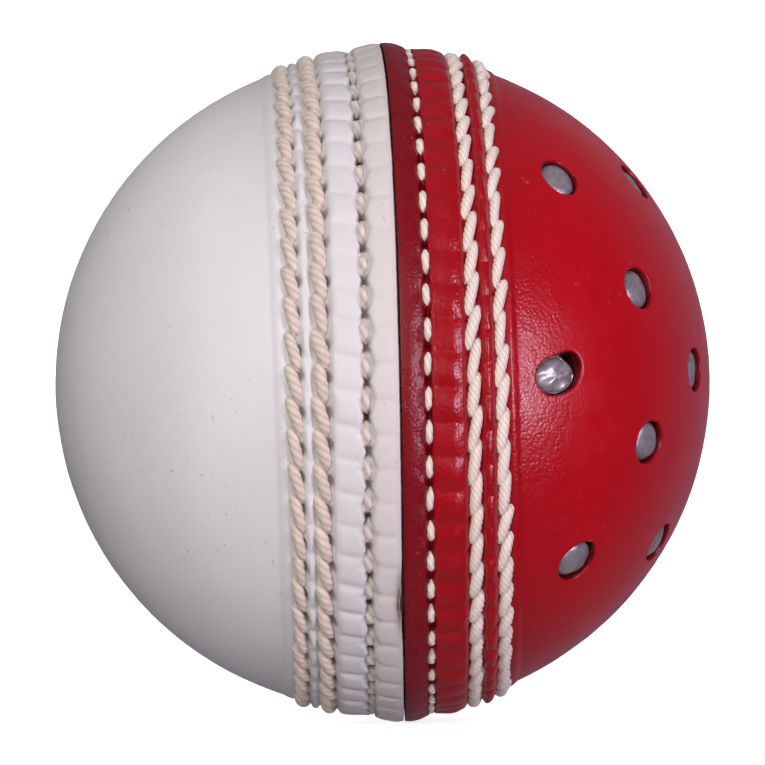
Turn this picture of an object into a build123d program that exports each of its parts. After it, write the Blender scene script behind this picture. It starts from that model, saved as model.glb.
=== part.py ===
from build123d import *
from collections import namedtuple
from math import asin, degrees, sqrt
import os

# A two-colour cricket training ball. A cork and rubber nucleus is wound with yarn, with
# two layers of cork wafers between the windings. Two leather cups, one white and one red,
# close over it and meet at a raised seam held by six rows of stitches. Metal pellets sit
# in holes punched through the red cup.
#
# Millimetres. The origin is the ball's centre. +X runs along the seam's axis, from the
# middle of the white cup to the middle of the red cup. +Z is up.

# Leather cups and seam
SKIN_R = 35.1  # outside of the leather, away from the seam
LEATHER = 2.8  # thickness of the leather
GAP_X = 0.95  # the crack between the cups lies a little to the red side of the centre
GAP = 0.5  # width of the crack
LIP_R = 36.45  # top of the seam, at the edges of the crack
STITCHES = 62  # stitches in each row, all the way round
CLEARANCE = 0.1  # between a thread and its groove, and a pellet and its hole
RETURN_THREAD = 0.5  # thickness of the hidden thread that joins one stitch to the next
RETURN_DROP = 0.1  # how far it runs below the middle of the stitches

# Inside
CORE_R = 13.0  # cork and rubber nucleus
MOULD_LINE = 0.4  # half the width of the groove round the nucleus, where its mould closed
YARN_INNER_R = 18.5  # outside of the first winding
YARN_MIDDLE_R = 25.0  # outside of the second winding
YARN_OUTER_R = SKIN_R - LEATHER  # outside of the last winding, which fills the leather
WAFER = 1.5  # thickness of a cork wafer
WAFERS = 6  # cork wafers in each layer
WAFER_SPAN = 56  # degrees that one wafer reaches round the ball
WAFER_RISE = 72  # degrees that a wafer reaches above and below the middle

# Pellets
PELLET_R = 2.1
PELLET_TOP = 35.0  # top of a pellet's dome, from the ball's centre
PELLET_DOME = 0.45  # height of the dome above the pellet's straight side

# A row of stitches: its distance from the crack, the thread's thickness, the width and
# length of one stitch, the radius of the thread's middle, and how high the leather
# stands beside it, on the side near the crack and on the far side.
Row = namedtuple("Row", "name offset thread width length radius near far")
WHITE_ROWS = [
    Row("closing", 3.0, 0.85, 0.95, 2.60, 35.08, 35.75, 35.25),
    Row("middle", 8.0, 1.55, 2.20, 3.70, 34.50, 35.20, 34.45),
    Row("outer", 10.75, 1.35, 2.05, 3.65, 33.78, 34.45, 33.60),
]
RED_ROWS = [
    Row("closing", 2.9, 0.90, 1.00, 2.40, 35.25, 36.05, 35.45),
    Row("middle", 7.6, 1.35, 1.85, 3.55, 34.43, 35.35, 34.85),
    Row("outer", 10.45, 1.25, 1.75, 3.45, 33.50, 34.40, 33.05),
]

# A cup: the side it is on, its rows, how far its raised band reaches from the crack,
# and how far and how high the lining under the band reaches.
Cup = namedtuple("Cup", "name side rows band lining lining_rise")
CUPS = [
    Cup("white", -1, WHITE_ROWS, 13.0, 12.2, 1.2),
    Cup("red", 1, RED_ROWS, 12.6, 11.4, 1.2),
]
BULGE = 0.1  # how far the bands of leather dome up between the rows

# A ring of pellets: the angle of its pellets from the red cup's middle, how many there
# are, and the angle of the first one round the cup, from -Y towards +Z.
Ring = namedtuple("Ring", "name tilt count start")
RINGS = [
    Ring("outer", 58, 8, 0),
    Ring("middle", 38.5, 8, 22.5),
    Ring("inner", 20, 4, 0),
]

# The holes are punched by hand. This is how far each one strays from its place in its
# ring: degrees away from the red cup's middle, then degrees round the cup.
STRAYS = {
    "outer": [
        (2.4, 0), (-0.5, -0.6), (0.9, 1.8), (-1.2, -2),
        (1.4, 1), (0.3, -1.7), (-0.8, 2.2), (-0.8, 3.7),
    ],
    "middle": [
        (2.1, 0.3), (0, 1.5), (-1.3, -2.4), (0.8, 2),
        (-0.4, -1.2), (1.6, 0.7), (-2.5, 6), (0.8, 3.3),
    ],
    "inner": [(1, 0.5), (-0.7, 3), (0.5, -2), (-1, 1.4)],
}


def x_at(cup, offset):
    """The x of a line round the ball, from its distance to the crack."""
    return GAP_X + cup.side * offset


def on_sphere(radius, x):
    """A point of a sphere's outline, as x and distance from the X axis."""
    return (x, sqrt(radius**2 - x**2))


def domed(start, end, rise):
    """An arc from start to end whose middle stands away from the X axis by rise."""
    middle = ((start[0] + end[0]) / 2, (start[1] + end[1]) / 2 + rise)
    return ThreePointArc(start, middle, end)


def round_arc(radius, start, end):
    """The arc of a sphere's outline between two points on it."""
    return ThreePointArc(start, on_sphere(radius, (start[0] + end[0]) / 2), end)


def spun(edges):
    """A closed outline, drawn as x and distance from the X axis, turned about X."""
    return revolve(make_face(edges), Axis.X, 360)


def round_x(angle, shape):
    """The shape moved round the ball, from -Y towards +Z."""
    return Rot(X=-angle) * shape


def lining_outline(cup):
    """The lining's ends and outer edge: under the lip, then down to the winding."""
    under_lip = (x_at(cup, GAP / 2), YARN_OUTER_R + cup.lining_rise)
    end = on_sphere(YARN_OUTER_R, x_at(cup, cup.lining))
    middle = on_sphere(YARN_OUTER_R + 0.75 * cup.lining_rise, (under_lip[0] + end[0]) / 2)
    return under_lip, ThreePointArc(under_lip, middle, end), end


def make_lining(cup):
    """Strip laid round the winding, which lifts the leather into the raised band."""
    under_lip, outer_edge, end = lining_outline(cup)
    foot = on_sphere(YARN_OUTER_R, under_lip[0])
    return spun([outer_edge, round_arc(YARN_OUTER_R, end, foot), Line(foot, under_lip)])


def make_cup(cup):
    """Leather cup, with its raised band and a groove for each row of stitches."""
    point = (x_at(cup, GAP / 2), LIP_R)
    edges = []
    for row in cup.rows:
        middle = x_at(cup, row.offset)
        reach = cup.side * (row.width / 2 + CLEARANCE)
        near_edge = (middle - reach, row.near)
        floor = (middle, row.radius - row.thread / 2 - CLEARANCE)
        far_edge = (middle + reach, row.far)
        edges.append(domed(point, near_edge, BULGE))
        edges.append(ThreePointArc(near_edge, floor, far_edge))
        point = far_edge
    foot = on_sphere(SKIN_R, x_at(cup, cup.band))
    pole = (cup.side * SKIN_R, 0)
    inner_pole = (cup.side * YARN_OUTER_R, 0)
    under_lip, lining_edge, lining_end = lining_outline(cup)
    edges += [
        domed(point, foot, BULGE),
        round_arc(SKIN_R, foot, pole),
        Line(pole, inner_pole),
        round_arc(YARN_OUTER_R, inner_pole, lining_end),
        lining_edge,
        Line(under_lip, (under_lip[0], LIP_R)),
    ]
    return spun(edges)


def make_stitch(row, lean):
    """One stitch, a round-ended length of thread, on the -Y side of the ball."""
    end_r = row.thread / 2
    half = row.length / 2
    half_outline = [
        Line((0, -half), (0, half)),
        RadiusArc((0, half), (end_r, half - end_r), end_r),
        Line((end_r, half - end_r), (end_r, end_r - half)),
        RadiusArc((end_r, end_r - half), (0, -half), end_r),
    ]
    upright = revolve(Plane.XZ * make_face(half_outline), Axis.Z, 360)
    return Pos(0, -row.radius, 0) * Rot(Y=lean) * upright


def make_thread(cup, row):
    """One row: its slanted stitches, joined by the return thread in the groove."""
    lean = degrees(asin((row.width - row.thread) / (row.length - row.thread)))
    stitch = make_stitch(row, cup.side * lean)
    stitches = [round_x(360 * i / STITCHES, stitch) for i in range(STITCHES)]
    return_thread = Rot(Y=90) * Torus(row.radius - RETURN_DROP, RETURN_THREAD / 2)
    return Pos(X=x_at(cup, row.offset)) * return_thread.fuse(*stitches)


def pellet_places(ring):
    """Each pellet's frame: its Z points out of the ball."""
    places = []
    for i, (tilt_stray, turn_stray) in enumerate(STRAYS[ring.name]):
        turn = ring.start + 360 * i / ring.count + turn_stray
        places.append(Rot(X=-turn) * Rot(Z=-ring.tilt - tilt_stray) * Rot(Y=90))
    return places


def make_pellet():
    """Round metal pellet with a domed top, standing on the winding."""
    shoulder = (PELLET_R, PELLET_TOP - PELLET_DOME)
    base = (PELLET_R, YARN_OUTER_R)
    dome_r = (PELLET_R**2 + PELLET_DOME**2) / (2 * PELLET_DOME)
    half_outline = [
        Line((0, YARN_OUTER_R), (0, PELLET_TOP)),
        RadiusArc((0, PELLET_TOP), shoulder, dome_r),
        Line(shoulder, base),
        Line(base, (0, YARN_OUTER_R)),
    ]
    return revolve(Plane.XZ * make_face(half_outline), Axis.Z, 360)


def punched(leather):
    """The leather with a hole for each pellet."""
    hole = Cylinder(PELLET_R + CLEARANCE, 2 * LEATHER)
    holes = [place * Pos(Z=SKIN_R) * hole for ring in RINGS for place in pellet_places(ring)]
    return leather.cut(*holes)


def make_winding(outer_r, inner_r):
    """A layer of yarn, wound all the way round what is inside it."""
    return Sphere(outer_r) - Sphere(inner_r)


def make_wafer(inner_r):
    """One curved slip of cork, laid over a winding."""
    inner = [(inner_r, turn) for turn in (-WAFER_RISE, 0, WAFER_RISE)]
    outer = [(inner_r + WAFER, turn) for turn in (-WAFER_RISE, 0, WAFER_RISE)]
    inner_points = [Vector(radius, 0).rotate(Axis.Z, turn) for radius, turn in inner]
    outer_points = [Vector(radius, 0).rotate(Axis.Z, turn) for radius, turn in outer]
    outline = [
        ThreePointArc(*inner_points),
        Line(inner_points[-1], outer_points[-1]),
        ThreePointArc(*reversed(outer_points)),
        Line(outer_points[0], inner_points[0]),
    ]
    return revolve(Plane.XZ * make_face(outline), Axis.Z, WAFER_SPAN)


def make_core():
    """Moulded nucleus, with a shallow groove where the halves of its mould met."""
    return Sphere(CORE_R) - Torus(CORE_R + MOULD_LINE / 2, MOULD_LINE)


parts = {
    "core_nucleus": make_core(),
    "yarn_winding_inner": make_winding(YARN_INNER_R, CORE_R),
    "yarn_winding_middle": make_winding(YARN_MIDDLE_R, YARN_INNER_R + WAFER),
    "yarn_winding_outer": make_winding(YARN_OUTER_R, YARN_MIDDLE_R + WAFER),
}
for layer, winding_r in (("inner", YARN_INNER_R), ("outer", YARN_MIDDLE_R)):
    for i in range(WAFERS):
        wafer = Rot(Z=360 * i / WAFERS) * make_wafer(winding_r)
        parts[f"cork_wafer_{layer}_{i + 1}"] = wafer
for cup in CUPS:
    leather = make_cup(cup)
    parts[f"cover_{cup.name}"] = punched(leather) if cup.name == "red" else leather
    parts[f"seam_lining_{cup.name}"] = make_lining(cup)
    for row in cup.rows:
        parts[f"stitches_{cup.name}_{row.name}"] = make_thread(cup, row)
for ring in RINGS:
    for i, place in enumerate(pellet_places(ring)):
        parts[f"pellet_{ring.name}_{i + 1}"] = place * make_pellet()

os.makedirs("parts", exist_ok=True)
for name, shape in parts.items():
    export_step(shape, f"parts/{name}.step")
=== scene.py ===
import math

import bmesh
import bpy
import numpy as np
from mathutils import Matrix, Vector
from mathutils.geometry import delaunay_2d_cdt


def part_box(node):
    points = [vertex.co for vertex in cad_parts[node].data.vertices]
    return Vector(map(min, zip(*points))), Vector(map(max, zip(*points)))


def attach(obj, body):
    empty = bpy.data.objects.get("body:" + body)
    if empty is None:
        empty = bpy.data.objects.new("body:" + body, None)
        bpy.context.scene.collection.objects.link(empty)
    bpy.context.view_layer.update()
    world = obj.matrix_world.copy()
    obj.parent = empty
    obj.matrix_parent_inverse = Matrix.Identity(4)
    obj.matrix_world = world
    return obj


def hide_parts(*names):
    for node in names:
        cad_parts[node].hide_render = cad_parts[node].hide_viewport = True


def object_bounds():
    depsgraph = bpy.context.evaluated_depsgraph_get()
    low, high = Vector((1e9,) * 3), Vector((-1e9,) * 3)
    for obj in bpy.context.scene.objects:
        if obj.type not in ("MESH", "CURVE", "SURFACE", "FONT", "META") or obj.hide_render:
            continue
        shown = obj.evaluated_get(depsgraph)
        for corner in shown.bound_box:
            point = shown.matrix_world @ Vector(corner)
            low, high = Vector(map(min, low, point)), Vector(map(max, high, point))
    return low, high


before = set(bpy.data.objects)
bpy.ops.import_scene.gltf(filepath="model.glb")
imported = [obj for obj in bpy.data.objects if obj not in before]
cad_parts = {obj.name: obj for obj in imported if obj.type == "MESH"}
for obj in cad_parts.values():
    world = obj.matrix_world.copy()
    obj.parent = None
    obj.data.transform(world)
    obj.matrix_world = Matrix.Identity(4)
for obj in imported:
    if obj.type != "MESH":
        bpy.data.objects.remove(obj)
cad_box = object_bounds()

# A two-colour cricket training ball: two leather cups, six rows of stitching along the
# raised seam, and metal pellets in the red cup. Metres, with shapes drawn in millimetres
# and turned to metres when a mesh is made. +X runs from the white cup to the red one.

MM = 0.001

# ---------------------------------------------------------------- sizes from the frame

SKIN_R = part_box("cover_red")[1][0] / MM  # outside of the leather, away from the seam
RIDGE_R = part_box("cover_red")[1][2] / MM  # top of the seam
WHITE_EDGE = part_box("cover_white")[1][0] / MM  # the crack between the cups
RED_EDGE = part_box("cover_red")[0][0] / MM
WINDING_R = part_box("yarn_winding_outer")[1][0] / MM
CRACK_X = (WHITE_EDGE + RED_EDGE) / 2
HALF_CRACK = (RED_EDGE - WHITE_EDGE) / 2
LINING_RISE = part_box("seam_lining_red")[1][2] / MM - WINDING_R


def row_place(name):
    """How far the middle of a row of stitches is from the crack."""
    low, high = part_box(name)
    return abs((low[0] + high[0]) / 2 / MM - CRACK_X)


STITCHES = 62  # in each row, all the way round
PELLET_R = 2.1
HOLE_R = 2.25

# ------------------------------------------------------------------------ small helpers


def linear(hex_colour):
    """An sRGB hex colour as linear RGBA."""
    values = [int(hex_colour[i : i + 2], 16) / 255 for i in (1, 3, 5)]
    return [v / 12.92 if v <= 0.04045 else ((v + 0.055) / 1.055) ** 2.4 for v in values] + [1]


def give(tree, taker, inputs):
    """Give a node its inputs: a value, another node's output, or a node for its first output."""
    for name, value in inputs.items():
        if isinstance(value, bpy.types.Node):
            value = value.outputs[0]
        if isinstance(value, bpy.types.NodeSocket):
            tree.links.new(value, taker.inputs[name])
        else:
            taker.inputs[name].default_value = value


def node(tree, kind, inputs=None, **settings):
    """Add a node with its settings, values and links."""
    new = tree.nodes.new(kind)
    for name, value in settings.items():
        setattr(new, name, value)
    give(tree, new, inputs or {})
    return new


def material(name):
    """An empty material, its tree, its shader and the object's own coordinates in mm."""
    made = bpy.data.materials.new(name)
    made.use_nodes = True
    tree = made.node_tree
    tree.nodes.clear()
    shader = node(tree, "ShaderNodeBsdfPrincipled")
    node(tree, "ShaderNodeOutputMaterial", {"Surface": shader.outputs["BSDF"]})
    place = node(tree, "ShaderNodeTexCoord").outputs["Object"]
    in_mm = node(tree, "ShaderNodeMapping", {"Vector": place, "Scale": [1000] * 3})
    return made, tree, shader, in_mm.outputs["Vector"]


# ---------------------------------------------------------------------------- materials


PEBBLE = 0.4  # mm across, a pebble of the leather's pressed grain
CREASE_DIRT_AND_SHADE = 25  # how strongly dirt and painted shade darken the lacquer's creases, for each mm of depth
LACQUER_IOR = 1.5


def leather(name, colours, rough, grain_depth, crease_depth):
    """Cowhide, dyed through, pressed and lacquered.

    The pressed grain shows only where light glances off it, near the seam. Round the seam
    the lacquer has creased. Dirt and painted shade darken the creases, stitch holes and crack.
    """
    made, tree, shader, place = material(name)
    clean, handled_colour, lip, dirt_and_shade_colour, speck = [linear(colour) for colour in colours]
    uv = node(tree, "ShaderNodeUVMap", uv_map="seam").outputs["UV"]
    from_crack = node(tree, "ShaderNodeSeparateXYZ", {0: uv}).outputs["Y"]

    # greyer where hands have held it, towards the seam, and clouded all over
    cloudy = node(tree, "ShaderNodeTexNoise", {
        "Vector": place, "Scale": 1 / 9.0, "Detail": 4.0, "Roughness": 0.6,
    })
    handled = node(tree, "ShaderNodeMapRange", {0: from_crack, 1: 19.0, 2: 9.0, 3: 0.0, 4: 0.75})
    handled = node(tree, "ShaderNodeMath", {
        0: handled,
        1: node(tree, "ShaderNodeMapRange", {0: cloudy, 1: 0.3, 2: 0.75, 3: 0.0, 4: 0.25}),
    }, operation="ADD")
    colour = node(tree, "ShaderNodeMix", {
        0: handled, 6: clean, 7: handled_colour,
    }, data_type="RGBA").outputs[2]
    lip_share = node(tree, "ShaderNodeMapRange", {0: from_crack, 1: 3.6, 2: 2.4})
    colour = node(tree, "ShaderNodeMix", {
        0: lip_share, 6: colour, 7: lip,
    }, data_type="RGBA").outputs[2]
    # small scuffs and specks in patches, then dirt and painted shade in the stitch holes, pits,
    # hole rims and crack
    spots = node(tree, "ShaderNodeTexNoise", {"Vector": place, "Scale": 1 / 0.5, "Detail": 1.0})
    patchy = node(tree, "ShaderNodeTexNoise", {"Vector": place, "Scale": 1 / 6.0, "Detail": 2.0})
    spots = node(tree, "ShaderNodeMath", {
        0: node(tree, "ShaderNodeMapRange", {0: spots, 1: 0.71, 2: 0.77}),
        1: node(tree, "ShaderNodeMapRange", {0: patchy, 1: 0.48, 2: 0.6}),
    }, operation="MULTIPLY")
    colour = node(tree, "ShaderNodeMix", {
        0: node(tree, "ShaderNodeMath", {0: spots, 1: 0.5}, operation="MULTIPLY"),
        6: colour,
        7: speck,
    }, data_type="RGBA").outputs[2]
    # this attribute darkens the colour: dirt, and painted shade in the holes, pits, rims and crack
    dirt_and_shade = node(tree, "ShaderNodeAttribute", attribute_name="dirt_and_shade").outputs["Fac"]
    smudge = node(tree, "ShaderNodeTexNoise", {
        "Vector": place, "Scale": 1 / 0.7, "Detail": 3.0, "Roughness": 0.7,
    })
    dirt_and_shade = node(tree, "ShaderNodeMath", {
        0: dirt_and_shade,
        1: node(tree, "ShaderNodeMapRange", {0: smudge, 1: 0.25, 2: 0.55, 3: 0.7, 4: 1.0}),
    }, operation="MULTIPLY")
    colour = node(tree, "ShaderNodeMix", {
        0: dirt_and_shade, 6: colour, 7: dirt_and_shade_colour,
    }, data_type="RGBA").outputs[2]

    # the lacquer is duller where it's worn, and on the lip
    worn = node(tree, "ShaderNodeTexNoise", {
        "Vector": place, "Scale": 1 / 3.0, "Detail": 3.0, "Roughness": 0.6,
    })
    gloss = node(tree, "ShaderNodeMapRange", {
        0: worn, 1: 0.3, 2: 0.7, 3: rough - 0.03, 4: rough + 0.05,
    })
    gloss = node(tree, "ShaderNodeMath", {
        0: lip_share, 1: 0.07, 2: gloss,
    }, operation="MULTIPLY_ADD")

    # pebbles, which the press smooths away towards the middle of the cup
    cells = node(tree, "ShaderNodeTexVoronoi", {
        "Vector": place, "Scale": 1 / PEBBLE, "Randomness": 0.8,
    })
    pebbles = node(tree, "ShaderNodeMath", {
        0: 1.0, 1: node(tree, "ShaderNodeMath", {0: cells, 1: 2.0}, operation="POWER"),
    }, operation="SUBTRACT")
    pressed = node(tree, "ShaderNodeMapRange", {0: from_crack, 1: 15.0, 2: 21.0, 3: 1.0, 4: 0.12})
    uneven = node(tree, "ShaderNodeTexNoise", {"Vector": place, "Scale": 1 / 2.5, "Detail": 2.0})
    pressed = node(tree, "ShaderNodeMath", {
        0: pressed,
        1: node(tree, "ShaderNodeMapRange", {0: uneven, 1: 0.35, 2: 0.6, 3: 0.35, 4: 1.0}),
    }, operation="MULTIPLY")
    grain = node(tree, "ShaderNodeBump", {
        "Height": node(tree, "ShaderNodeMath", {0: pebbles, 1: pressed}, operation="MULTIPLY"),
        "Distance": grain_depth * MM,
    })
    # the lacquer's creases: rings round the lip's bulges, longer along the seam than across
    bent = node(tree, "ShaderNodeTexNoise", {"Vector": uv, "Scale": 1 / 0.9, "Detail": 2.0})
    bent = node(tree, "ShaderNodeVectorMath", {0: uv, 1: bent}, operation="ADD")
    stretched = node(tree, "ShaderNodeMapping", {0: bent, "Scale": [1.1, 1.0, 1.0]})
    rings = node(tree, "ShaderNodeTexVoronoi", {
        "Vector": stretched, "Scale": 1.0, "Randomness": 0.8,
    }, feature="DISTANCE_TO_EDGE")
    rings = node(tree, "ShaderNodeMapRange", {0: rings, 1: 0.0, 2: 0.05})
    where = node(tree, "ShaderNodeTexNoise", {"Vector": place, "Scale": 1 / 2.2, "Detail": 2.0})
    shown = node(tree, "ShaderNodeMath", {
        0: lip_share, 1: node(tree, "ShaderNodeMapRange", {0: where, 1: 0.42, 2: 0.6}),
    }, operation="MULTIPLY")
    creased = node(tree, "ShaderNodeMath", {
        0: node(tree, "ShaderNodeMath", {0: rings, 1: 1.0}, operation="SUBTRACT"),
        1: shown,
        2: 1.0,
    }, operation="MULTIPLY_ADD")
    shape = node(tree, "ShaderNodeBump", {
        "Height": creased, "Distance": crease_depth * MM, "Normal": grain,
    })
    # the creases darkened in colour: dirt and painted shade
    crease_dirt_and_shade = node(tree, "ShaderNodeMath", {0: 1.0, 1: creased}, operation="SUBTRACT")
    crease_dirt_and_shade = node(tree, "ShaderNodeMath", {
        0: crease_dirt_and_shade, 1: crease_depth * CREASE_DIRT_AND_SHADE,
    }, operation="MULTIPLY")
    colour = node(tree, "ShaderNodeMix", {
        0: crease_dirt_and_shade, 6: colour, 7: dirt_and_shade_colour,
    }, data_type="RGBA").outputs[2]
    give(tree, shader, {
        "Base Color": colour, "Roughness": gloss, "IOR": LACQUER_IOR, "Normal": shape,
    })
    return made


def thread(name, light, shade, crease):
    """Linen thread, three to five plies twisted together and waxed.

    Matt, with a fine fibre grain along each ply, and wax, dirt and painted shade between the plies.
    """
    made, tree, shader, place = material(name)
    around = node(tree, "ShaderNodeAttribute", attribute_name="ply_side").outputs["Vector"]
    along = node(tree, "ShaderNodeAttribute", attribute_name="along").outputs["Fac"]
    lay = node(tree, "ShaderNodeCombineXYZ", {
        "Z": node(tree, "ShaderNodeMath", {0: along, 1: 1.2}, operation="MULTIPLY"),
    })
    lay = node(tree, "ShaderNodeVectorMath", {0: around, 1: lay}, operation="ADD")
    tint = node(tree, "ShaderNodeAttribute", attribute_name="tint").outputs["Fac"]
    seed = node(tree, "ShaderNodeCombineXYZ", {
        "Z": node(tree, "ShaderNodeMath", {0: tint, 1: 40.0}, operation="MULTIPLY"),
    })
    lay = node(tree, "ShaderNodeVectorMath", {0: lay, 1: seed}, operation="ADD")
    fibres = node(tree, "ShaderNodeTexNoise", {
        "Vector": lay, "Scale": 1 / 0.055, "Detail": 3.0, "Roughness": 0.7,
    })
    patches = node(tree, "ShaderNodeTexNoise", {
        "Vector": place, "Scale": 1 / 0.9, "Detail": 3.0, "Roughness": 0.6,
    })
    colour = node(tree, "ShaderNodeMix", {
        0: node(tree, "ShaderNodeMapRange", {0: patches, 1: 0.35, 2: 0.7}),
        6: linear(light),
        7: linear(shade),
    }, data_type="RGBA").outputs[2]
    colour = node(tree, "ShaderNodeMix", {
        0: node(tree, "ShaderNodeMapRange", {0: tint, 1: 0.0, 2: 1.0, 3: 0.0, 4: 0.35}),
        6: colour,
        7: linear(shade),
    }, data_type="RGBA").outputs[2]
    colour = node(tree, "ShaderNodeMix", {
        0: node(tree, "ShaderNodeMapRange", {0: fibres, 1: 0.45, 2: 0.75, 3: 0.0, 4: 0.3}),
        6: colour,
        7: linear(crease),
    }, data_type="RGBA").outputs[2]
    # darker in the creases between the plies: dirt and painted shade
    groove_dirt_and_shade = node(tree, "ShaderNodeMath", {
        0: node(tree, "ShaderNodeAttribute", attribute_name="crease").outputs["Fac"], 1: 0.5,
    }, operation="MULTIPLY")
    colour = node(tree, "ShaderNodeMix", {
        0: groove_dirt_and_shade, 6: colour, 7: linear(crease),
    }, data_type="RGBA").outputs[2]
    shape = node(tree, "ShaderNodeBump", {"Height": fibres, "Distance": 0.05 * MM})
    give(tree, shader, {
        "Base Color": colour,
        "Roughness": 0.75,
        "Sheen Weight": 0.25,
        "Sheen Roughness": 0.5,
        "Normal": shape,
    })
    return made


def pellet_metal():
    """Aluminium, cut from wire and tumbled smooth.

    Grey and satin: a film of oxide and wax hides about half of the bare metal, which leaves
    a soft highlight instead of a mirror.
    """
    made, tree, shader, place = material("tumbled_aluminium")
    haze = node(tree, "ShaderNodeTexNoise", {
        "Vector": place, "Scale": 1 / 0.9, "Detail": 3.0, "Roughness": 0.6,
    })
    colour = node(tree, "ShaderNodeMix", {
        0: node(tree, "ShaderNodeMapRange", {0: haze, 1: 0.35, 2: 0.7}),
        6: linear("#b2acaf"),
        7: linear("#888186"),
    }, data_type="RGBA").outputs[2]
    rough = node(tree, "ShaderNodeMapRange", {0: haze, 1: 0.3, 2: 0.7, 3: 0.35, 4: 0.46})
    dents = node(tree, "ShaderNodeTexNoise", {"Vector": place, "Scale": 1 / 0.6, "Detail": 2.0})
    shape = node(tree, "ShaderNodeBump", {"Height": dents, "Distance": 0.05 * MM})
    give(tree, shader, {
        "Base Color": colour, "Metallic": 0.6, "Roughness": rough, "Normal": shape,
    })
    return made


def cork(name, light, dark, grain_size, bump):
    """Cork: pale grains with dark bark between them, cut or moulded."""
    made, tree, shader, place = material(name)
    cells = node(tree, "ShaderNodeTexVoronoi", {"Vector": place, "Scale": 1 / grain_size})
    tone = node(tree, "ShaderNodeSeparateColor", {0: cells.outputs["Color"]})
    colour = node(tree, "ShaderNodeMix", {
        0: tone, 6: linear(light), 7: linear(dark),
    }, data_type="RGBA").outputs[2]
    edge = node(tree, "ShaderNodeTexVoronoi", {
        "Vector": place, "Scale": 1 / grain_size,
    }, feature="DISTANCE_TO_EDGE")
    gaps = node(tree, "ShaderNodeMapRange", {0: edge, 1: 0.0, 2: 0.08, 3: 1.0, 4: 0.0})
    colour = node(tree, "ShaderNodeMix", {
        0: gaps, 6: colour, 7: linear("#2e1c10"),
    }, data_type="RGBA").outputs[2]
    height = node(tree, "ShaderNodeMath", {0: 1.0, 1: gaps}, operation="SUBTRACT")
    pores = node(tree, "ShaderNodeTexNoise", {"Vector": place, "Scale": 1 / 0.3, "Detail": 3.0})
    height = node(tree, "ShaderNodeMath", {0: pores, 1: 0.5, 2: height}, operation="MULTIPLY_ADD")
    shape = node(tree, "ShaderNodeBump", {"Height": height, "Distance": bump * MM})
    give(tree, shader, {"Base Color": colour, "Roughness": 0.85, "Normal": shape})
    return made


def wool():
    """Worsted wool yarn, wound tight in every direction.

    Strands 1.2 mm wide cross each other at all angles, so the surface looks woven.
    """
    made, tree, shader, place = material("worsted_yarn")
    height = 0.0
    for turn in ((0.3, 0.2, 0.0), (1.4, 0.7, 0.5), (2.3, 1.9, 1.1)):
        laid = node(tree, "ShaderNodeMapping", {0: place, "Rotation": turn})
        inputs = {"Vector": laid, "Scale": 0.26, "Distortion": 1.5, "Detail": 2.0}
        strands = node(tree, "ShaderNodeTexWave", inputs).outputs["Fac"]
        over = node(tree, "ShaderNodeTexNoise", {"Vector": laid, "Scale": 1 / 5.0, "Detail": 1.0})
        strands = node(tree, "ShaderNodeMath", {
            0: strands,
            1: node(tree, "ShaderNodeMapRange", {0: over, 1: 0.4, 2: 0.6, 3: 0.3, 4: 1.0}),
        }, operation="MULTIPLY")
        height = node(tree, "ShaderNodeMath", {0: height, 1: strands}, operation="MAXIMUM")
    # darker where the strands lie low, between each other: painted shade
    colour = node(tree, "ShaderNodeMix", {
        0: height, 6: linear("#8a7a5f"), 7: linear("#d8ccb2"),
    }, data_type="RGBA").outputs[2]
    shape = node(tree, "ShaderNodeBump", {"Height": height, "Distance": 0.4 * MM})
    give(tree, shader, {
        "Base Color": colour, "Roughness": 0.9, "Sheen Weight": 0.3, "Normal": shape,
    })
    return made


def split_hide():
    """Undyed split cowhide: napped, fibrous and matt."""
    made, tree, shader, place = material("split_cowhide")
    nap = node(tree, "ShaderNodeTexNoise", {
        "Vector": place, "Scale": 1 / 0.4, "Detail": 5.0, "Roughness": 0.7,
    })
    patches = node(tree, "ShaderNodeTexNoise", {"Vector": place, "Scale": 1 / 5.0, "Detail": 3.0})
    colour = node(tree, "ShaderNodeMix", {
        0: node(tree, "ShaderNodeMapRange", {0: patches, 1: 0.35, 2: 0.65}),
        6: linear("#b59a74"),
        7: linear("#957b58"),
    }, data_type="RGBA").outputs[2]
    colour = node(tree, "ShaderNodeMix", {
        0: node(tree, "ShaderNodeMapRange", {0: nap, 1: 0.4, 2: 0.8, 3: 0.0, 4: 0.5}),
        6: colour,
        7: linear("#d3bd98"),
    }, data_type="RGBA").outputs[2]
    shape = node(tree, "ShaderNodeBump", {"Height": nap, "Distance": 0.12 * MM})
    give(tree, shader, {"Base Color": colour, "Roughness": 0.92, "Normal": shape})
    return made


# colours of clean leather, handled leather, the lip, dirt with painted shade, and specks, and
# depths in mm
WHITE_LEATHER = leather(
    "white_alum_tanned_leather",
    ("#dbd8d9", "#c7c3c2", "#cac1bd", "#552f25", "#7d6d6a"),
    rough=0.45, grain_depth=0.008, crease_depth=0.0,
)
RED_LEATHER = leather(
    "red_dyed_leather",
    ("#a8000f", "#8c000e", "#74000e", "#1d0305", "#c8505a"),
    rough=0.32, grain_depth=0.05, crease_depth=0.02,
)
BEIGE_THREAD = thread("beige_waxed_linen_thread", "#e0d0c2", "#d0bfb0", "#a08a7a")
GREYED_THREAD = thread("greyed_waxed_linen_thread", "#dccfc6", "#cdbfb5", "#907d74")
CREAM_THREAD = thread("cream_waxed_linen_thread", "#ebdfd3", "#e0d1c4", "#b9a090")
METAL = pellet_metal()

# ----------------------------------------------------------------------------- leather


def wobble(angle, depth, seed, terms):
    """A smooth, repeatable wander round the ball."""
    rng = np.random.default_rng(seed)
    total = np.zeros_like(angle)
    for term in terms:
        total += np.sin(term * angle + rng.uniform(0, 6.28)) / term**0.5
    return total * depth / len(terms) ** 0.5


CORNER_ROUNDING = 0.11


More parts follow.
